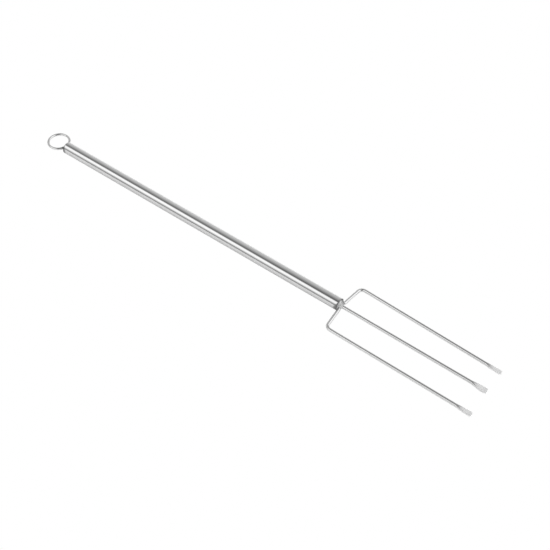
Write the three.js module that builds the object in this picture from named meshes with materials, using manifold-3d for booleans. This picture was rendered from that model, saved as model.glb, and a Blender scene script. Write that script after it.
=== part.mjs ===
// A long-handled wire fork in stainless steel: a slim tubular handle, a wire hanging loop brazed into one
// end, and three wire tines brazed into the other, each with its tip pressed flat.
//
// Frame: millimetres, +X along the handle towards the tips, +Y to the left, +Z up. The fork lies on the
// plane z = 0, on its handle and on its tips. The origin is the middle of that footprint.
//
// The loop's legs and the tines' legs are inside the handle. The three tine legs lie side by side in the
// bore, a little below its middle, and silver braze fills what is left of the bore near each end.

import * as THREE from "three";
import { mergeVertices } from "three/addons/utils/BufferGeometryUtils.js";
import Module from "manifold-3d";

// ---------------------------------------------------------------- driving dimensions

const HANDLE_LENGTH = 145.5;
const HANDLE_RADIUS = 2.6;
const HANDLE_WALL = 0.35;
const HANDLE_CHAMFER = 0.12; // left on each rim by deburring
const HANDLE_SIDES = 32;

const TINE_RADIUS = 0.7; // 1.4 mm wire
const TINE_SIDES = 16;
const TINE_REACH = { left: 65.6, centre: 65.4, right: 66.1 }; // from the handle's mouth to each tip
const TINE_LEG = 9; // length of wire inside the handle
const LEG_PITCH = 1.45; // between the middles of neighbouring legs
const LEG_DROP = 0.3; // from the handle's axis down to the legs
const ROOT_SPREAD = 12; // from the fork's centre line to an outer tine, at its root
const TIP_Y = { left: 10.95, centre: 0.7, right: -11.45 }; // bent by hand, the tips aren't quite even
const MOUTH_BEND_RADIUS = 1;
const SHOULDER_ANGLE = 85; // degrees that an outer wire turns as it leaves the handle
const SHOULDER_DROP = 0.25; // how far it comes down along its shoulder
const CORNER_RADIUS = 2.1;

const TIP_LENGTH = 7.2; // length of wire that is pressed
const TIP_TAPER = 5.6; // part of that over which the wire widens
const TIP_WIDTH = { left: 2.05, centre: 2.75, right: 2.3 };
const TIP_AREA = 1.45; // a tip's width times its thickness: the more it is pressed, the wider it gets
const TIP_CORNER = 0.8; // radius of the tip's corners, seen from above

const LOOP_WIRE_RADIUS = 0.55; // 1.1 mm wire
const LOOP_WIRE_SIDES = 12;
const LOOP_RADIUS = 4.6; // of the wire's centre line
const LOOP_OFFSET = 4.8; // from the handle's end to the loop's centre
const LOOP_RISE = 0.85; // from the handle's axis up to the loop and its legs
const LOOP_LEG = 12; // length of wire inside the handle
const LOOP_LEG_SPREAD = 1.15; // from the handle's axis to a leg
const LOOP_NECK_RADIUS = 1;

const TINE_BRAZE_LENGTH = 10; // past the legs' ends
const LOOP_BRAZE_LENGTH = 6;
const BRAZE_GAP = 0.04; // kept between the braze and what it grips
const TINE_BRAZE_DOME = 1.2; // how far the braze bulges out of the handle, around the tines' roots
const LOOP_BRAZE_DOME = 0.35;

const BEND_STEPS = 7;
const LOOP_STEPS = 36;
const TAPER_STEPS = 6;
const DOME_STEPS = 4;

// ---------------------------------------------------------------- derived places

const LOOP_REACH = LOOP_OFFSET + LOOP_RADIUS + LOOP_WIRE_RADIUS;
const OVERALL_LENGTH = LOOP_REACH + HANDLE_LENGTH + Math.max(...Object.values(TINE_REACH));
const REAR_X = LOOP_REACH - OVERALL_LENGTH / 2;
const MOUTH_X = REAR_X + HANDLE_LENGTH;
const AXIS_Z = HANDLE_RADIUS;
const BORE_RADIUS = HANDLE_RADIUS - HANDLE_WALL;
const LEG_Z = AXIS_Z - LEG_DROP;
const LOOP_Z = AXIS_Z + LOOP_RISE;

// ---------------------------------------------------------------- materials

function metal(color, roughness) {
  return new THREE.MeshStandardMaterial({ color, roughness, metalness: 1 });
}

const tubeSteel = metal(0xc9cbcc, 0.16);
const wireSteel = metal(0xc4c6c7, 0.22);
const silverBraze = metal(0xb9b6ad, 0.4);

// ---------------------------------------------------------------- wires

const { degToRad, radToDeg } = THREE.MathUtils;

// The centre line of a wire, drawn as a bender makes it: straight lengths, and bends in a level plane.
// It is the list of points at which the wire is sectioned.
class WirePath extends THREE.Curve {
  constructor(start, heading) {
    super();
    this.points = [start];
    this.heading = heading; // degrees from +X towards +Y
  }

  get end() {
    return this.points[this.points.length - 1];
  }

  // A straight length, measured on plan, that comes down by drop on its way.
  straight(length, drop = 0) {
    const dx = length * Math.cos(degToRad(this.heading));
    const dy = length * Math.sin(degToRad(this.heading));
    this.points.push(new THREE.Vector3(this.end.x + dx, this.end.y + dy, this.end.z - drop));
    return this;
  }

  // Positive degrees turn left.
  bend(radius, degrees, steps) {
    const turn = degrees / steps;
    const chord = 2 * radius * Math.sin(degToRad(Math.abs(turn)) / 2);
    for (let i = 0; i < steps; i++) {
      this.heading += turn / 2;
      this.straight(chord);
      this.heading += turn / 2;
    }
    return this;
  }

  // The stations of a tip that is to be pressed: along its taper, and around its corners.
  tip() {
    for (let i = 0; i < TAPER_STEPS; i++) {
      this.straight(TIP_TAPER / TAPER_STEPS);
    }
    this.straight(TIP_LENGTH - TIP_TAPER - TIP_CORNER);
    const cornerSteps = 3;
    for (let i = 0; i < cornerSteps; i++) {
      const angle = (i / cornerSteps) * (Math.PI / 2);
      const next = ((i + 1) / cornerSteps) * (Math.PI / 2);
      this.straight(TIP_CORNER * (Math.sin(next) - Math.sin(angle)));
    }
    return this;
  }

  getPoint(t, target = new THREE.Vector3()) {
    const place = t * (this.points.length - 1);
    const before = Math.min(Math.floor(place), this.points.length - 2);
    return target.lerpVectors(this.points[before], this.points[before + 1], place - before);
  }

  // Sections stand at the points, not at equal distances.
  getUtoTmapping(u) {
    return u;
  }
}

function wireAlong(path, radius, sides) {
  const section = new THREE.Shape().absarc(0, 0, radius, 0, 2 * Math.PI);
  const steps = path.points.length - 1;
  return new THREE.ExtrudeGeometry(section, { extrudePath: path, steps, curveSegments: sides / 2 });
}

// An outer tine: a leg in the handle, a bend outwards, a shoulder, a corner, and the tine itself.
// side is 1 for the left tine and -1 for the right. reach is from the handle's mouth to its tip.
function outerTinePath(side, tipY, reach) {
  const shoulderCos = Math.cos(degToRad(SHOULDER_ANGLE));
  const bendSpread = MOUTH_BEND_RADIUS * (1 - shoulderCos);
  const toeIn = radToDeg(Math.atan((ROOT_SPREAD - side * tipY) / reach));
  const cornerSpread = CORNER_RADIUS * (Math.cos(degToRad(toeIn)) - shoulderCos);
  const shoulderSpread = ROOT_SPREAD - LEG_PITCH - bendSpread - cornerSpread;
  const path = new WirePath(new THREE.Vector3(MOUTH_X - TINE_LEG, side * LEG_PITCH, LEG_Z), 0)
    .straight(TINE_LEG)
    .bend(MOUTH_BEND_RADIUS, side * SHOULDER_ANGLE, BEND_STEPS)
    .straight(shoulderSpread / Math.sin(degToRad(SHOULDER_ANGLE)), SHOULDER_DROP)
    .bend(CORNER_RADIUS, -side * (SHOULDER_ANGLE + toeIn), BEND_STEPS);
  const run = (MOUTH_X + reach - path.end.x) / Math.cos(degToRad(toeIn));
  return path.straight(run - TIP_LENGTH, path.end.z - TINE_RADIUS).tip();
}

function centreTinePath(tipY, reach) {
  const path = new WirePath(new THREE.Vector3(MOUTH_X - TINE_LEG, 0, LEG_Z), 0).straight(TINE_LEG);
  path.heading = radToDeg(Math.asin(tipY / reach));
  return path.straight(reach - TIP_LENGTH, LEG_Z - TINE_RADIUS).tip();
}

// Most of a circle, with both ends turned back through a neck into two parallel legs.
function loopPath() {
  const neckSpread = LOOP_LEG_SPREAD + LOOP_NECK_RADIUS;
  const neckReach = LOOP_RADIUS + LOOP_NECK_RADIUS;
  const neckX = REAR_X - LOOP_OFFSET + Math.sqrt(neckReach ** 2 - neckSpread ** 2);
  const legLength = REAR_X + LOOP_LEG - neckX;
  const opening = radToDeg(Math.asin(neckSpread / neckReach));
  return new WirePath(new THREE.Vector3(REAR_X + LOOP_LEG, LOOP_LEG_SPREAD, LOOP_Z), 180)
    .straight(legLength)
    .bend(LOOP_NECK_RADIUS, opening - 90, BEND_STEPS)
    .bend(LOOP_RADIUS, 360 - 2 * opening, LOOP_STEPS)
    .bend(LOOP_NECK_RADIUS, opening - 90, BEND_STEPS)
    .straight(legLength);
}

// Presses the end of a tine's wire as flat dies would: it thins, it spreads, and its underside is level.
function pressTip(geometry, path, tipWidth) {
  const tipThickness = TIP_AREA / tipWidth;
  const position = geometry.getAttribute("position");
  const toeIn = Math.tan(degToRad(path.heading));
  for (let i = 0; i < position.count; i++) {
    const fromTip = path.end.x - position.getX(i);
    if (fromTip < TIP_LENGTH) {
      const pressed = THREE.MathUtils.smoothstep(TIP_LENGTH - fromTip, 0, TIP_TAPER);
      const intoCorner = Math.max(0, TIP_CORNER - fromTip);
      const cornerInset = TIP_CORNER - Math.sqrt(Math.max(0, TIP_CORNER ** 2 - intoCorner ** 2));
      const halfWidth = THREE.MathUtils.lerp(TINE_RADIUS, tipWidth / 2, pressed) - cornerInset;
      const halfThickness = THREE.MathUtils.lerp(TINE_RADIUS, tipThickness / 2, pressed);
      const centreY = path.end.y - fromTip * toeIn;
      const across = (position.getY(i) - centreY) * (halfWidth / TINE_RADIUS);
      const height = position.getZ(i) - TINE_RADIUS;
      position.setY(i, centreY + across);
      position.setZ(i, halfThickness + THREE.MathUtils.clamp(height, -halfThickness, halfThickness));
    }
  }
  return geometry;
}

function tine(path, tipWidth) {
  return pressTip(wireAlong(path, TINE_RADIUS, TINE_SIDES), path, tipWidth);
}

// ---------------------------------------------------------------- round pieces

// Turns a profile of [x, radius] pairs about the handle's axis. The profile's outside runs towards +X.
// The radii are those of the flats, and one flat faces down.
function turned(profile) {
  const flatToEdge = 1 / Math.cos(Math.PI / HANDLE_SIDES);
  const points = profile.map(([x, radius]) => new THREE.Vector2(radius * flatToEdge, -x));
  const geometry = new THREE.LatheGeometry(points.reverse(), HANDLE_SIDES);
  geometry.rotateY(Math.PI / HANDLE_SIDES);
  geometry.rotateZ(Math.PI / 2);
  return geometry.translate(0, 0, AXIS_Z);
}

function handleTube() {
  const rimRadius = HANDLE_RADIUS - HANDLE_CHAMFER;
  return turned([
    [REAR_X, BORE_RADIUS],
    [REAR_X, rimRadius],
    [REAR_X + HANDLE_CHAMFER, HANDLE_RADIUS],
    [MOUTH_X - HANDLE_CHAMFER, HANDLE_RADIUS],
    [MOUTH_X, rimRadius],
    [MOUTH_X, BORE_RADIUS],
    [REAR_X, BORE_RADIUS],
  ]);
}

// A plug of braze in the end of the bore at mouthX, domed outside. outward is 1 where that end faces +X.
function brazePlug(mouthX, outward, length, dome) {
  const radius = BORE_RADIUS - BRAZE_GAP;
  const innerX = mouthX - outward * length;
  const profile = [
    [innerX, 0],
    [innerX, radius],
  ];
  for (let i = 0; i < DOME_STEPS; i++) {
    const angle = (i / DOME_STEPS) * (Math.PI / 2);
    profile.push([mouthX + outward * dome * Math.sin(angle), radius * Math.cos(angle)]);
  }
  profile.push([mouthX + outward * dome, 0]);
  return turned(outward > 0 ? profile : profile.reverse());
}

// ---------------------------------------------------------------- cutting

const wasm = await Module();
wasm.setup();

function toSolid(geometry) {
  geometry.deleteAttribute("normal");
  geometry.deleteAttribute("uv");
  const merged = mergeVertices(geometry);
  const vertProperties = merged.getAttribute("position").array;
  const triVerts = new Uint32Array(merged.getIndex().array);
  return new wasm.Manifold(new wasm.Mesh({ numProp: 3, vertProperties, triVerts }));
}

function toGeometry(solid) {
  const { vertProperties, triVerts } = solid.getMesh();
  const geometry = new THREE.BufferGeometry();
  geometry.setAttribute("position", new THREE.BufferAttribute(vertProperties, 3));
  geometry.setIndex(new THREE.BufferAttribute(triVerts, 1));
  return geometry;
}

// A plug of braze, less the room that each wire through it takes.
function brazeAround(plug, paths, wireRadius, sides) {
  let braze = toSolid(plug);
  for (const path of paths) {
    braze = braze.subtract(toSolid(wireAlong(path, wireRadius + BRAZE_GAP, sides)));
  }
  return toGeometry(braze);
}

// ---------------------------------------------------------------- the fork

const left = outerTinePath(1, TIP_Y.left, TINE_REACH.left);
const centre = centreTinePath(TIP_Y.centre, TINE_REACH.centre);
const right = outerTinePath(-1, TIP_Y.right, TINE_REACH.right);
const loop = loopPath();

const tinePlug = brazePlug(MOUTH_X, 1, TINE_BRAZE_LENGTH, TINE_BRAZE_DOME);
const loopPlug = brazePlug(REAR_X, -1, LOOP_BRAZE_LENGTH, LOOP_BRAZE_DOME);
const tineBraze = brazeAround(tinePlug, [left, centre, right], TINE_RADIUS, TINE_SIDES);
const loopBraze = brazeAround(loopPlug, [loop], LOOP_WIRE_RADIUS, LOOP_WIRE_SIDES);

const fork = new THREE.Group();

function add(name, geometry, material) {
  const mesh = new THREE.Mesh(geometry, material);
  mesh.name = name;
  fork.add(mesh);
}

add("handle_tube", handleTube(), tubeSteel);
add("hanging_loop", wireAlong(loop, LOOP_WIRE_RADIUS, LOOP_WIRE_SIDES), wireSteel);
add("loop_braze", loopBraze, silverBraze);
add("left_tine", tine(left, TIP_WIDTH.left), wireSteel);
add("centre_tine", tine(centre, TIP_WIDTH.centre), wireSteel);
add("right_tine", tine(right, TIP_WIDTH.right), wireSteel);
add("tine_braze", tineBraze, silverBraze);

export default fork;
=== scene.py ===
"""A long-handled wire fork in polished stainless steel, lying on a plain white studio floor.

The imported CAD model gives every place. Each CAD node is replaced here by a fine mesh of the same piece: the
tube with its rounded rims, round wire with true bends and pressed tips, and braze that has wetted the wires.
Lengths are in metres. MM turns the millimetres that the pieces are drawn in into metres.
"""

import math

import bmesh
import bpy
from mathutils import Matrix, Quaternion, Vector, noise


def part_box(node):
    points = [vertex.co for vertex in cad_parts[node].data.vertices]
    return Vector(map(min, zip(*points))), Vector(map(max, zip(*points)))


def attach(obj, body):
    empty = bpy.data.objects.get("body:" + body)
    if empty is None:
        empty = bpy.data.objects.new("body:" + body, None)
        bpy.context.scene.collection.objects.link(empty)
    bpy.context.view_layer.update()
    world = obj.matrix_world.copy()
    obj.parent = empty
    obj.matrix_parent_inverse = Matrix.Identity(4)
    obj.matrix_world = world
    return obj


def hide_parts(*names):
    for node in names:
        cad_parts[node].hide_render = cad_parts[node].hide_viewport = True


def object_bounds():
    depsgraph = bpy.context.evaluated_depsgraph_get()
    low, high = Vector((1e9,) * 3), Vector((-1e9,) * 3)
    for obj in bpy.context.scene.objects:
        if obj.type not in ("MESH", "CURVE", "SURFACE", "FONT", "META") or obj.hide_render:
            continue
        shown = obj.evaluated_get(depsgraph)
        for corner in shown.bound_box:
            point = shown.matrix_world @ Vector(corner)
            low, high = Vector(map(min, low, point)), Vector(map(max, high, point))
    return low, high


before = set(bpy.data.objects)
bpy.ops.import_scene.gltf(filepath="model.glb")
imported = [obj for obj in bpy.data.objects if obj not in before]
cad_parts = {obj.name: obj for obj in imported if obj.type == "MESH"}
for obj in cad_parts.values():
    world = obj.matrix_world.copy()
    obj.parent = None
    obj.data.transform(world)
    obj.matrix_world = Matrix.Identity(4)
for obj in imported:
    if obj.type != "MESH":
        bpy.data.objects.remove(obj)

cad_low, cad_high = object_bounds()

MM = 0.001

# ---------------------------------------------------------------- places, from the frame

tube_low, tube_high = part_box("handle_tube")
loop_low, loop_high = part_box("hanging_loop")
left_low, left_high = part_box("left_tine")
centre_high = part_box("centre_tine")[1]
right_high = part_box("right_tine")[1]
tine_braze_low, tine_braze_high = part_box("tine_braze")
loop_braze_low, loop_braze_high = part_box("loop_braze")

REAR_X = tube_low.x
MOUTH_X = tube_high.x
TIP_X = {"left": left_high.x, "centre": centre_high.x, "right": right_high.x}
TUBE_RADIUS = (tube_high.z - tube_low.z) / 2
AXIS_Z = tube_low.z + TUBE_RADIUS

# ---------------------------------------------------------------- dimensions that the frame doesn't state

BORE_RADIUS = TUBE_RADIUS - 0.35 * MM
RIM_ROUND = 0.12 * MM

TINE_RADIUS = 0.7 * MM
LEG_PITCH = 1.45 * MM
LEG_Z = left_high.z - TINE_RADIUS
LEG_START_X = left_low.x
ROOT_SPREAD = left_high.y - TINE_RADIUS
MOUTH_BEND_RADIUS = 1.0 * MM
SHOULDER_ANGLE = 85  # degrees that an outer tine turns through, out of the mouth
SHOULDER_DROP = 0.25 * MM  # how much it comes down from there to its corner
CORNER_RADIUS = 2.1 * MM

TIP_Y = {"left": 10.95 * MM, "centre": 0.7 * MM, "right": -11.45 * MM}
TIP_WIDTH = {"left": 2.05 * MM, "centre": 2.75 * MM, "right": 2.3 * MM}
TIP_AREA = 1.45 * MM * MM  # width by height, the same for each tip
TIP_LENGTH = 7.2 * MM
TIP_TAPER = 5.6 * MM  # part of the length over which the round wire flattens
TIP_DULL = 6.6 * MM  # length that the press has begun to turn from polish to satin
TIP_DULLING = 5.0 * MM  # part of that over which it does so
TIP_CORNER = 0.8 * MM  # radius of the end's corners, seen from above
TIP_EDGE = 0.18 * MM  # and seen from the side
TIP_SQUARENESS = 3.6

LOOP_WIRE_RADIUS = 0.55 * MM
LOOP_RADIUS = 4.6 * MM
LOOP_LEG_SPREAD = 1.15 * MM
LOOP_NECK_RADIUS = 1.0 * MM
LOOP_CENTRE_X = loop_low.x + LOOP_WIRE_RADIUS + LOOP_RADIUS
LOOP_Z = (loop_low.z + loop_high.z) / 2

TUBE_SIDES = 128
WIRE_SIDES = 40
STAIN_REACH = 0.15 * MM  # how far from a brazed joint the handle is stained
PAINTED_SHADE_REACH = 2.4 * MM  # how much further it is darkened on one side, as painted shade
PAINTED_SHADE_SIDE = math.radians(178)  # the side with that painted shade, around the handle, from +Y towards +Z
TINE_STAIN = 0.6 * MM
LOOP_STAIN = 1.8 * MM
FAR_SIDE_STAIN = 0.5  # the most that the loop is stained on its +Y side; on its -Y side it is darkened fully, which is painted shade

BRAZE_BOND = 0.02 * MM  # how far the braze runs into the bore's wall
BRAZE_CLIMB = 0.4 * MM  # how far it rises along each wire
BRAZE_FILLET = 0.3 * MM  # how wide that rise is
BRAZE_LUMPS = 0.07 * MM
BRAZE_SHADE_REACH = 1.6 * MM  # painted shade: its face darkens from the middle to this far on the +Y side
DOME_DROP = 0.3 * MM  # how much lower than the CAD's the tines' dome is, to leave room for the rise
TINE_DOME = tine_braze_high.x - MOUTH_X - DOME_DROP
LOOP_DOME = 0.2 * MM


# ---------------------------------------------------------------- shader nodes


class Graph:
    """Adds shader nodes to a tree. An input is a value to set, or a socket to link from."""

    def __init__(self, tree):
        self.tree = tree

    def node(self, kind, inputs=(), **settings):
        node = self.tree.nodes.new("ShaderNode" + kind)
        for name, value in settings.items():
            setattr(node, name, value)
        for name, value in dict(inputs).items():
            self.feed(node.inputs[name], value)
        return node

    def feed(self, socket, value):
        if isinstance(value, bpy.types.NodeSocket):
            self.tree.links.new(value, socket)
        else:
            socket.default_value = value

    def math(self, operation, a, b=0.0):
        return self.node("Math", {0: a, 1: b}, operation=operation).outputs[0]

    def vector_math(self, operation, a, b=(0, 0, 0)):
        return self.node("VectorMath", {0: a, 1: b}, operation=operation)

    def remap(self, value, start, end, to_start, to_end):
        """Eases from to_start to to_end as value goes from start to end."""
        inputs = {"Value": value, "From Min": start, "From Max": end, "To Min": to_start, "To Max": to_end}
        return self.node("MapRange", inputs, interpolation_type="SMOOTHSTEP").outputs[0]

    def noise(self, place, scale, detail=2.0, stretch=(1, 1, 1)):
        stretched = self.vector_math("MULTIPLY", place, stretch).outputs[0]
        return self.node("TexNoise", {"Vector": stretched, "Scale": scale, "Detail": detail}).outputs["Fac"]

    def attribute(self, name):
        return self.node("Attribute", attribute_name=name)

    def mix(self, factor, a, b):
        """Goes from a to b, two numbers or sockets, as factor goes from 0 to 1."""
        inputs = {"Factor": factor, "A": a, "B": b}
        return self.node("Mix", inputs, data_type="FLOAT").outputs[0]

    def grey(self, level):
        return self.node("CombineColor", {0: level, 1: level, 2: level}).outputs[0]


# ---------------------------------------------------------------- materials

DRAWN = (0.02, 1, 1)  # stretches a pattern into lines along the piece
SCRATCHED = (0.035, 1, 1)


def metal(name, level, roughness, line_depth, satin_level=0.0, satin_roughness=0.5):
    """Drawn and polished steel. level is its colour where polished, and satin_level where pressed.

    "straight" is the place on the piece before it was bent, in millimetres, so the lines follow the bends.
    The heat stain and shade attribute is 1 where a brazed joint's heat stained it most. On one side of the
    handle and loop it also carries painted shade. "satin" is 1 where the press took its polish.
    """
    material = bpy.data.materials.new(name)
    material.use_nodes = True
    graph = Graph(material.node_tree)
    shader = material.node_tree.nodes["Principled BSDF"]
    place = graph.attribute("straight").outputs["Vector"]
    heat_stain_and_shade = graph.attribute("heat_stain_and_shade").outputs["Fac"]
    satin = graph.attribute("satin").outputs["Fac"]
    dulled = graph.remap(satin, 0, 0.6, 0, 1)

    # Patterns, each from 0 to 1
    clouds = graph.noise(place, 0.35, 3)
    lines = graph.noise(place, 9, 3, DRAWN)
    scratches = graph.remap(graph.noise(place, 14, 1, SCRATCHED), 0.66, 0.78, 0, 1)
    hammered = graph.noise(place, 2.2, 2)
    stain_and_shade_edge = graph.math("ADD", heat_stain_and_shade, graph.math("MULTIPLY", clouds, 0.3))
    stain_and_shade_depth = graph.remap(stain_and_shade_edge, 0.35, 0.95, 0, 0.68)

    # Colour: how much of the light each place sends back
    polished = graph.mix(clouds, level - 0.03, level + 0.03)
    polished = graph.math("SUBTRACT", polished, graph.math("MULTIPLY", lines, 0.03))
    pressed = graph.math("ADD", graph.mix(satin, level, satin_level), graph.mix(hammered, -0.05, 0.05))
    bare = graph.mix(dulled, polished, pressed)
    bare = graph.math("SUBTRACT", bare, graph.math("MULTIPLY", scratches, 0.05))
    # The stain mask darkens the colour. On one side of the handle and loop this is painted shade.
    shade = graph.math("MULTIPLY", bare, graph.math("SUBTRACT", 1.0, stain_and_shade_depth))
    graph.feed(shader.inputs["Base Color"], graph.grey(shade))
    shader.inputs["Metallic"].default_value = 1.0

    # Roughness: lines, scratches, and the stain with its painted shade all blur what is mirrored
    gloss = graph.mix(clouds, roughness * 0.75, roughness * 1.25)
    gloss = graph.math("ADD", gloss, graph.math("MULTIPLY", lines, 0.04))
    gloss = graph.math("ADD", gloss, graph.math("MULTIPLY", scratches, 0.12))
    gloss = graph.math("ADD", gloss, graph.math("MULTIPLY", stain_and_shade_depth, 0.35))
    gloss = graph.mix(dulled, gloss, graph.mix(hammered, satin_roughness - 0.06, satin_roughness + 0.06))
    graph.feed(shader.inputs["Roughness"], gloss)

    # Relief: fine grooves everywhere, and the press's dents in the tips
    grooves = graph.math("ADD", lines, graph.math("MULTIPLY", scratches, -0.6))
    drawn = graph.node("Bump", {"Height": grooves, "Distance": line_depth * MM, "Strength": 0.6})
    dents = graph.math("MULTIPLY", satin, hammered)
    dented = graph.node("Bump", {"Height": dents, "Distance": 0.012 * MM, "Normal": drawn.outputs[0]})
    graph.feed(shader.inputs["Normal"], dented.outputs[0])
    return material


def braze_metal():
    """Silver braze as it froze: dull and uneven, with painted shade that darkens its face towards the +Y
    side.
    """
    material = bpy.data.materials.new("silver_braze")
    material.use_nodes = True
    graph = Graph(material.node_tree)
    shader = material.node_tree.nodes["Principled BSDF"]
    place = graph.attribute("straight").outputs["Vector"]
    blotches = graph.noise(place, 1.1, 4)
    grains = graph.noise(place, 9, 3)
    pits = graph.remap(graph.noise(place, 3.5, 2), 0.3, 0.42, 1, 0)
    painted_shade = graph.attribute("heat_stain_and_shade").outputs["Fac"]
    shade = graph.mix(blotches, 0.38, 0.68)
    # Painted shade: the face is darker towards its +Y side.
    shade = graph.math("MULTIPLY", shade, graph.remap(painted_shade, 0, 1, 1.0, 0.45))
    shade = graph.math("MULTIPLY", shade, graph.math("SUBTRACT", 1.0, graph.math("MULTIPLY", pits, 0.5)))
    graph.feed(shader.inputs["Base Color"], graph.grey(shade))
    shader.inputs["Metallic"].default_value = 1.0
    graph.feed(shader.inputs["Roughness"], graph.mix(grains, 0.3, 0.6))
    relief = graph.math("SUBTRACT", graph.math("ADD", grains, graph.math("MULTIPLY", blotches, 2.0)), pits)
    bump = graph.node("Bump", {"Height": relief, "Distance": 0.03 * MM, "Strength": 0.8})
    graph.feed(shader.inputs["Normal"], bump.outputs[0])
    return material


# ---------------------------------------------------------------- meshes


class Skin:
    """A closed mesh made of rings of points, with the attributes that its material reads at each point."""

    def __init__(self):
        self.bm = bmesh.new()
        self.straight = self.bm.verts.layers.float_vector.new("straight")
        self.heat_stain_and_shade = self.bm.verts.layers.float.new("heat_stain_and_shade")
        self.satin = self.bm.verts.layers.float.new("satin")
        self.rings = []

    def ring(self, points, straight, heat_stain_and_shade=0.0, satin=0.0):
        """Adds a ring, and joins it to the last one. Its darkening, by stain and by painted shade, is a
        number, or one for each point.
        """
        ring = []
        for i, point in enumerate(points):
            vert = self.bm.verts.new(point)
            vert[self.straight] = straight[i] / MM
            vert[self.heat_stain_and_shade] = heat_stain_and_shade[i] if isinstance(heat_stain_and_shade, list) else heat_stain_and_shade
            vert[self.satin] = satin
            ring.append(vert)
        if self.rings:
            self.join(self.rings[-1], ring)
        self.rings.append(ring)

    def join(self, near, far):
        for i in range(len(near)):
            j = (i + 1) % len(near)
            self.bm.faces.new((near[i], near[j], far[j], far[i]))

    def cap(self):
        self.bm.faces.new(self.rings[0])
        self.bm.faces.new(self.rings[-1])

    def finish(self, name, material, node):
        bmesh.ops.recalc_face_normals(self.bm, faces=self.bm.faces)
        mesh = bpy.data.meshes.new(name)
        self.bm.to_mesh(mesh)
        self.bm.free()
        mesh.polygons.foreach_set("use_smooth", [True] * len(mesh.polygons))
        mesh.materials.append(material)
        piece = bpy.data.objects.new(name, mesh)
        bpy.context.scene.collection.objects.link(piece)
        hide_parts(node)
        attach(piece, "root")


def steps(start, end, count):
    return [start + (end - start) * i / count for i in range(count + 1)]


def quarter(count):
    """Angles from 0 to a right angle."""
    return steps(0, math.pi / 2, count)


def smooth(value):
    value = min(max(value, 0.0), 1.0)
    return value * value * (3 - 2 * value)


# ---------------------------------------------------------------- the handle


def tube_ring(x, radius):
    ring = []
    for i in range(TUBE_SIDES):
        turn = 2 * math.pi * i / TUBE_SIDES
        ring.append(Vector((x, radius * math.cos(turn), AXIS_Z + radius * math.sin(turn))))
    return ring


def tube_stain_and_shade(x):
    """How stained the tube is at each point of a ring: 1 at its ends. On one side the darkening reaches
    further, as painted shade.
    """
    levels = []
    for i in range(TUBE_SIDES):
        # Painted shade: the darkening reaches further towards this side.
        towards_painted_shade = max(0.0, math.cos(2 * math.pi * i / TUBE_SIDES - PAINTED_SHADE_SIDE))
        reach = STAIN_REACH + PAINTED_SHADE_REACH * towards_painted_shade**3
        levels.append(max(0.0, 1 - min(x - REAR_X, MOUTH_X - x) / reach))
    return levels


def handle(material):
    """A tube with rounded rims: a closed profile, turned about its axis.

    It runs around the mouth's rim, back along the outside, around the rear rim, and forward along the bore.
    Rings are closer together near the ends, because the stain and the painted shade fade there.
    """
    end_length = 8 * MM
    ring_gap = 0.6 * MM
    outer = TUBE_RADIUS - RIM_ROUND
    inner = BORE_RADIUS + RIM_ROUND
    front = [(MOUTH_X - RIM_ROUND * (1 - math.cos(a)), inner - RIM_ROUND * math.sin(a)) for a in quarter(6)]
    front.reverse()
    front += [(MOUTH_X - RIM_ROUND * (1 - math.cos(a)), outer + RIM_ROUND * math.sin(a)) for a in quarter(6)]
    back = [(MOUTH_X + REAR_X - x, radius) for x, radius in reversed(front)]
    near_mouth = steps(MOUTH_X - ring_gap, MOUTH_X - end_length + ring_gap, 16)
    between = steps(MOUTH_X - end_length, REAR_X + end_length, 40)
    near_rear = steps(REAR_X + end_length - ring_gap, REAR_X + ring_gap, 16)
    outside = [(x, TUBE_RADIUS) for x in near_mouth + between + near_rear]
    inside = [(x, BORE_RADIUS) for x in steps(REAR_X + ring_gap, MOUTH_X - ring_gap, 12)]
    skin = Skin()
    for x, radius in front + outside + back + inside:
        points = tube_ring(x, radius)
        skin.ring(points, points, tube_stain_and_shade(x))
    skin.join(skin.rings[-1], skin.rings[0])
    skin.finish("handle", material, "handle_tube")


# ---------------------------------------------------------------- wires


class WirePath:
    """A wire's centre line: straight lengths and bends, with the distance along it at each point."""

    def __init__(self, start, heading):
        self.points = [Vector(start)]
        self.headings = [heading]
        self.along = [0.0]
        self.heading = heading  # degrees from +X towards +Y

    @property
    def end(self):
        return self.points[-1]

    def straight(self, length, count=1, drop=0.0):
        angle = math.radians(self.heading)
        step = Vector((length * math.cos(angle), length * math.sin(angle), -drop)) / count
        for _ in range(count):
            self.points.append(self.end + step)
            self.headings.append(self.heading)
            self.along.append(self.along[-1] + step.length)
        return self

    def bend(self, radius, degrees, count):
        turn = degrees / count
        chord = 2 * radius * math.sin(math.radians(abs(turn)) / 2)
        for _ in range(count):
            self.heading += turn / 2
            self.straight(chord)
            self.heading += turn / 2
            self.headings[-1] = self.heading
        return self

    def ring(self, index, half_width, half_height, squareness, lift=0.0):
        """The section at a point, and the same section on the straight wire."""
        angle = math.radians(self.headings[index])
        side = Vector((-math.sin(angle), math.cos(angle), 0))
        points = []
        straight = []
        for i in range(WIRE_SIDES):
            turn = 2 * math.pi * i / WIRE_SIDES
            across = half_width * math.copysign(abs(math.cos(turn)) ** (2 / squareness), math.cos(turn))
            up = half_height * math.copysign(abs(math.sin(turn)) ** (2 / squareness), math.sin(turn))
            points.append(self.points[index] + side * across + Vector((0, 0, up + lift)))
            straight.append(Vector((self.along[index], across, up)))
        return points, straight


def wire_tarnish(x, reach):
    """1 within the handle, falling away outside it."""
    outside = max(x - MOUTH_X, REAR_X - x)
    return max(0.0, 1 - max(0.0, outside) / reach)


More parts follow.
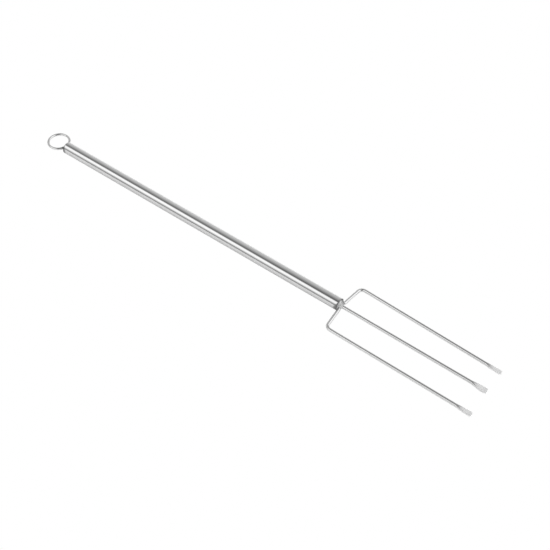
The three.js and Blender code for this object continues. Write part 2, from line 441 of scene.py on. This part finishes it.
def loop(material):
    spread = LOOP_LEG_SPREAD + LOOP_NECK_RADIUS
    reach = LOOP_RADIUS + LOOP_NECK_RADIUS
    leg = loop_high.x - LOOP_CENTRE_X - math.sqrt(reach**2 - spread**2)
    opening = math.degrees(math.asin(spread / reach))
    path = WirePath((loop_high.x, LOOP_LEG_SPREAD, LOOP_Z), 180)
    path.straight(leg, 12).bend(LOOP_NECK_RADIUS, opening - 90, 16)
    path.bend(LOOP_RADIUS, 360 - 2 * opening, 120)
    path.bend(LOOP_NECK_RADIUS, opening - 90, 16).straight(leg, 12)
    skin = Skin()
    for i, point in enumerate(path.points):
        # Painted shade: near the handle the -Y side of the loop is darkened twice as much as its +Y side.
        most = 1.0 if point.y < 0 else FAR_SIDE_STAIN
        heat_stain_and_shade = most * wire_tarnish(point.x, LOOP_STAIN)
        skin.ring(*path.ring(i, LOOP_WIRE_RADIUS, LOOP_WIRE_RADIUS, 2), heat_stain_and_shade)
    skin.cap()
    skin.finish("loop", material, "hanging_loop")


def tip_stations(path):
    """Adds a pressed tip's points: along its taper, along its flat, and closer together around its end."""
    path.straight(TIP_TAPER, 22).straight(TIP_LENGTH - TIP_TAPER - TIP_CORNER, 9)
    angles = quarter(14)
    for near, far in zip(angles, angles[1:]):
        path.straight(TIP_CORNER * (math.sin(far) - math.sin(near)))


def rounded(size, from_end, radius):
    """What is left of a half size when its end has corners of this radius."""
    into = max(0.0, radius - from_end)
    return size - radius + math.sqrt(max(0.0, radius**2 - into**2))


def tine(side, path, material):
    """Round wire along a path, with its end pressed flat on the floor."""
    tip_half_width = TIP_WIDTH[side] / 2
    tip_half_height = TIP_AREA / TIP_WIDTH[side] / 2
    last = path.along[-1]
    skin = Skin()
    for i, point in enumerate(path.points):
        from_end = last - path.along[i]
        pressed = smooth((TIP_LENGTH - from_end) / TIP_TAPER)
        half_width = TINE_RADIUS + (tip_half_width - TINE_RADIUS) * pressed
        half_height = TINE_RADIUS + (tip_half_height - TINE_RADIUS) * pressed
        lift = half_height - point.z if from_end < TIP_LENGTH else 0.0
        half_width = rounded(half_width, from_end, TIP_CORNER)
        half_height = rounded(half_height, from_end, TIP_EDGE)
        squareness = 2 + (TIP_SQUARENESS - 2) * pressed
        satin = smooth((TIP_DULL - from_end) / TIP_DULLING)
        heat_stain_and_shade = wire_tarnish(point.x, TINE_STAIN)
        skin.ring(*path.ring(i, half_width, half_height, squareness, lift), heat_stain_and_shade, satin)
    skin.cap()
    skin.finish("wire_" + side + "_tine", material, side + "_tine")


def outer_tine(side, direction, material):
    """direction is 1 for the left tine and -1 for the right."""
    shoulder_cos = math.cos(math.radians(SHOULDER_ANGLE))
    shoulder_sin = math.sin(math.radians(SHOULDER_ANGLE))
    toe_in = math.atan((ROOT_SPREAD - direction * TIP_Y[side]) / (TIP_X[side] - MOUTH_X))
    bend_spread = MOUTH_BEND_RADIUS * (1 - shoulder_cos)
    corner_spread = CORNER_RADIUS * (math.cos(toe_in) - shoulder_cos)
    shoulder = (ROOT_SPREAD - LEG_PITCH - bend_spread - corner_spread) / shoulder_sin
    path = WirePath((LEG_START_X, direction * LEG_PITCH, LEG_Z), 0)
    path.straight(MOUTH_X - LEG_START_X, 12)
    path.bend(MOUTH_BEND_RADIUS, direction * SHOULDER_ANGLE, 18)
    path.straight(shoulder, 24, SHOULDER_DROP)
    path.bend(CORNER_RADIUS, -direction * (SHOULDER_ANGLE + math.degrees(toe_in)), 22)
    path.straight((TIP_X[side] - path.end.x) / math.cos(toe_in) - TIP_LENGTH, 60, path.end.z - TINE_RADIUS)
    tip_stations(path)
    tine(side, path, material)


def centre_tine(material):
    path = WirePath((LEG_START_X, 0, LEG_Z), 0)
    path.straight(MOUTH_X - LEG_START_X, 12)
    toe_in = math.atan(TIP_Y["centre"] / (TIP_X["centre"] - MOUTH_X))
    path.heading = math.degrees(toe_in)
    path.straight((TIP_X["centre"] - MOUTH_X) / math.cos(toe_in) - TIP_LENGTH, 70, LEG_Z - TINE_RADIUS)
    tip_stations(path)
    tine("centre", path, material)


# ---------------------------------------------------------------- braze


def braze(name, node, material, ends, dome, wires, wire_radius):
    """A plug that fills the end of the bore. Its face is domed and lumpy, and climbs each wire.

    ends are the x of its face's rim and the x that it reaches inside. wires are the places, as (y, z), at
    which wires of wire_radius pass through its face. Lumps and climb fade out where the face meets the bore.
    """
    end_x, inner_x = ends
    outward = math.copysign(1, end_x - inner_x)
    radius = BORE_RADIUS + BRAZE_BOND
    skin = Skin()

    def face_height(y, z):
        from_axis = math.hypot(y, z - AXIS_Z) / radius
        height = dome * math.sqrt(max(0.0, 1 - from_axis**2))
        for wire_y, wire_z in wires:
            gap = max(0.0, math.hypot(y - wire_y, z - wire_z) - wire_radius)
            height += BRAZE_CLIMB * math.exp(-gap / BRAZE_FILLET) * (1 - from_axis**6)
        place = Vector((end_x, y, z)) / MM
        return height + BRAZE_LUMPS * noise.noise(place * 1.3) * (1 - from_axis**6)

    for part in steps(0.02, 1, 26):
        points = tube_ring(end_x, radius * part)
        points = [p + Vector((outward * face_height(p.y, p.z), 0, 0)) for p in points]
        # Painted shade: the face darkens towards its +Y side.
        skin.ring(points, points, [smooth(p.y / BRAZE_SHADE_REACH) for p in points])
    for x in steps(end_x, inner_x, 8)[1:]:
        points = tube_ring(x, radius)
        skin.ring(points, points)
    skin.cap()
    skin.finish(name, material, node)


# ---------------------------------------------------------------- the fork

tube_steel = metal("tube_steel", 0.57, 0.1, 0.0006)
drawn_wire = metal("drawn_wire", 0.65, 0.15, 0.0008, satin_level=0.9, satin_roughness=0.65)
frozen_braze = braze_metal()

handle(tube_steel)
loop(drawn_wire)
outer_tine("left", 1, drawn_wire)
centre_tine(drawn_wire)
outer_tine("right", -1, drawn_wire)

tine_legs = [(y, LEG_Z) for y in (-LEG_PITCH, 0, LEG_PITCH)]
loop_legs = [(y, LOOP_Z) for y in (-LOOP_LEG_SPREAD, LOOP_LEG_SPREAD)]
tine_ends = (MOUTH_X, tine_braze_low.x)
loop_ends = (REAR_X, loop_braze_high.x)
braze("braze_tines", "tine_braze", frozen_braze, tine_ends, TINE_DOME, tine_legs, TINE_RADIUS)
braze("braze_loop", "loop_braze", frozen_braze, loop_ends, LOOP_DOME, loop_legs, LOOP_WIRE_RADIUS)


# ---------------------------------------------------------------- floor, light and camera

FLOOR_SIZE = 6.0
PAPER_WHITE = (0.95, 0.95, 0.95, 1)
PAPER_PAINTED_GLOW = 0.42  # painted light: the paper glows, standing in for light bounced around the tent
PAINTED_SHADOW_REACH = 6 * MM  # painted shadow: paper that the fork covers, within this distance, glows less


def floor():
    """To the camera it is plain white. In reflections it is white paper under the studio's light, with a
    painted glow that a painted shadow dims where the fork covers it.
    """
    bpy.ops.mesh.primitive_plane_add(size=FLOOR_SIZE)
    plane = bpy.context.object
    plane.name = "floor"
    plane.location.z = cad_low.z
    material = bpy.data.materials.new("floor_white")
    material.use_nodes = True
    material.node_tree.nodes.clear()
    graph = Graph(material.node_tree)
    paper = graph.node("BsdfDiffuse", {"Color": PAPER_WHITE})
    # Painted shadow under the fork, seen in reflections: ambient occlusion dims the painted glow.
    outside_painted_shadow = graph.node("AmbientOcclusion", {"Distance": PAINTED_SHADOW_REACH}).outputs["AO"]
    painted_glow = graph.node("Emission", {"Strength": graph.math("MULTIPLY", outside_painted_shadow, PAPER_PAINTED_GLOW)})
    paper = graph.node("AddShader", {0: paper.outputs[0], 1: painted_glow.outputs[0]})
    white = graph.node("Emission", {"Strength": 1.0})
    seen = graph.node("LightPath").outputs["Is Camera Ray"]
    mixed = graph.node("MixShader", {0: seen, 1: paper.outputs[0], 2: white.outputs[0]})
    graph.node("OutputMaterial", {"Surface": mixed.outputs[0]})
    plane.data.materials.append(material)


# Light around the handle: the angle from overhead, towards the camera's side, in degrees, and its level
AROUND = (
    (-90, 0.95),
    (-60, 0.82),
    (-36, 0.6),
    (-8, 0.21),
    (6, 0.21),
    (20, 1.7),
    (44, 1.7),
    (66, 0.7),
    (72, 0.36),
    (86, 0.4),
    (90, 0.9),
)
BRIGHTEST = 2.0  # a colour ramp holds levels up to 1, so they are divided by this and multiplied again
SLANT = math.radians(27)  # the softbox isn't quite in line with the handle
SLANT_START = -0.57
BACK_LEVEL = 0.7
OPENING = Vector((0.747, -0.664, 0))  # the tent is open there, on the camera's side and towards the tips

# How the light changes between two directions: where the change starts and ends, and the values there.
# The first six go by the direction's x. The camera sees the handle mirror x from -0.57 at its rear to -0.33
# at its mouth, and the tines mirror x from there to -0.17 at their tips.
HANDLE_ADDED = (-0.33, -0.45, 0, 0.07)
TINES_DIMMED = (-0.32, -0.17, 1.0, 0.75)
TINES_LEAST = (-0.34, -0.2, 0.0, 0.27)
TINES_FAR_SIDE = (-0.34, -0.28, 0, 0.22)
TO_FRONT = (0.06, 0.3, 0, 1)
TO_BACK = (-0.58, -0.68, 0, 1)
FAR_SIDE = (math.radians(-12), math.radians(-36), 0, 1)  # by the angle from overhead
FRONT_LEVEL = (0.1, 0.6, 1.35, 1.5)  # by the direction's z
OPENING_DIMMED = (0.78, 0.94, 1.0, 0.2)  # by the cosine of the angle to OPENING, seen from above


def studio():
    """A white light tent, around the fork. To the camera it is plain white.

    In reflections it has a long softbox above the camera's side, a dark strip overhead, a bright front, a
    grey back, and a dark opening.
    """
    world = bpy.data.worlds.new("studio")
    world.use_nodes = True
    bpy.context.scene.world = world
    graph = Graph(world.node_tree)
    direction = graph.node("TexCoord").outputs["Generated"]
    split = graph.node("SeparateXYZ", {0: direction})
    x, y, z = split.outputs

    angle = graph.math("ARCTAN2", graph.math("MULTIPLY", y, -1.0), z)
    past_start = graph.math("SUBTRACT", x, SLANT_START)
    angle = graph.math("SUBTRACT", angle, graph.math("MULTIPLY", past_start, SLANT))
    ramp = graph.node("ValToRGB", {0: graph.math("ADD", graph.math("DIVIDE", angle, 2 * math.pi), 0.5)})
    elements = ramp.color_ramp.elements
    elements.remove(elements[1])
    for i, (degrees, level) in enumerate(AROUND):
        position = degrees / 360 + 0.5
        element = elements[0] if i == 0 else elements.new(position)
        element.position = position
        element.color = (level / BRIGHTEST, level / BRIGHTEST, level / BRIGHTEST, 1)
    around = graph.math("MULTIPLY", ramp.outputs[0], BRIGHTEST)

    around = graph.math("ADD", around, graph.remap(x, *HANDLE_ADDED))
    around = graph.math("MULTIPLY", around, graph.remap(x, *TINES_DIMMED))
    around = graph.math("MAXIMUM", around, graph.remap(x, *TINES_LEAST))
    darker = graph.math("MULTIPLY", graph.remap(angle, *FAR_SIDE), graph.remap(x, *TINES_FAR_SIDE))
    around = graph.math("MULTIPLY", around, graph.math("SUBTRACT", 1.0, darker))
    level = graph.mix(graph.remap(x, *TO_FRONT), around, graph.remap(z, *FRONT_LEVEL))
    level = graph.mix(graph.remap(x, *TO_BACK), level, BACK_LEVEL)

    from_above = graph.node("CombineXYZ", {0: x, 1: y}).outputs[0]
    from_above = graph.vector_math("NORMALIZE", from_above).outputs[0]
    facing = graph.vector_math("DOT_PRODUCT", from_above, OPENING).outputs["Value"]
    level = graph.math("MULTIPLY", level, graph.remap(facing, *OPENING_DIMMED))

    seen = graph.node("LightPath").outputs["Is Camera Ray"]
    background = world.node_tree.nodes["Background"]
    graph.feed(background.inputs["Color"], graph.grey(graph.mix(seen, level, 1.0)))


CAMERA_AZIMUTH = math.radians(36.82)  # from -Y towards +X
CAMERA_ELEVATION = math.radians(50.02)
CAMERA_ROLL = math.radians(0.25)
CAMERA_DISTANCE = 435.55 * MM
CAMERA_TARGET = Vector((MOUTH_X - 29.0 * MM, -3.23 * MM, AXIS_Z + 0.05 * MM))
LENS_MM = 72
SENSOR_MM = 36


def camera():
    back = Vector((
        math.sin(CAMERA_AZIMUTH) * math.cos(CAMERA_ELEVATION),
        -math.cos(CAMERA_AZIMUTH) * math.cos(CAMERA_ELEVATION),
        math.sin(CAMERA_ELEVATION),
    ))
    lens = bpy.data.cameras.new("camera")
    lens.lens = LENS_MM
    lens.sensor_width = SENSOR_MM
    stand = bpy.data.objects.new("camera", lens)
    bpy.context.scene.collection.objects.link(stand)
    stand.location = CAMERA_TARGET + back * CAMERA_DISTANCE
    stand.rotation_mode = "QUATERNION"
    stand.rotation_quaternion = Quaternion(back, CAMERA_ROLL) @ (-back).to_track_quat("-Z", "Y")
    bpy.context.scene.camera = stand


floor()
studio()
camera()
bpy.context.scene.view_settings.view_transform = "Standard"
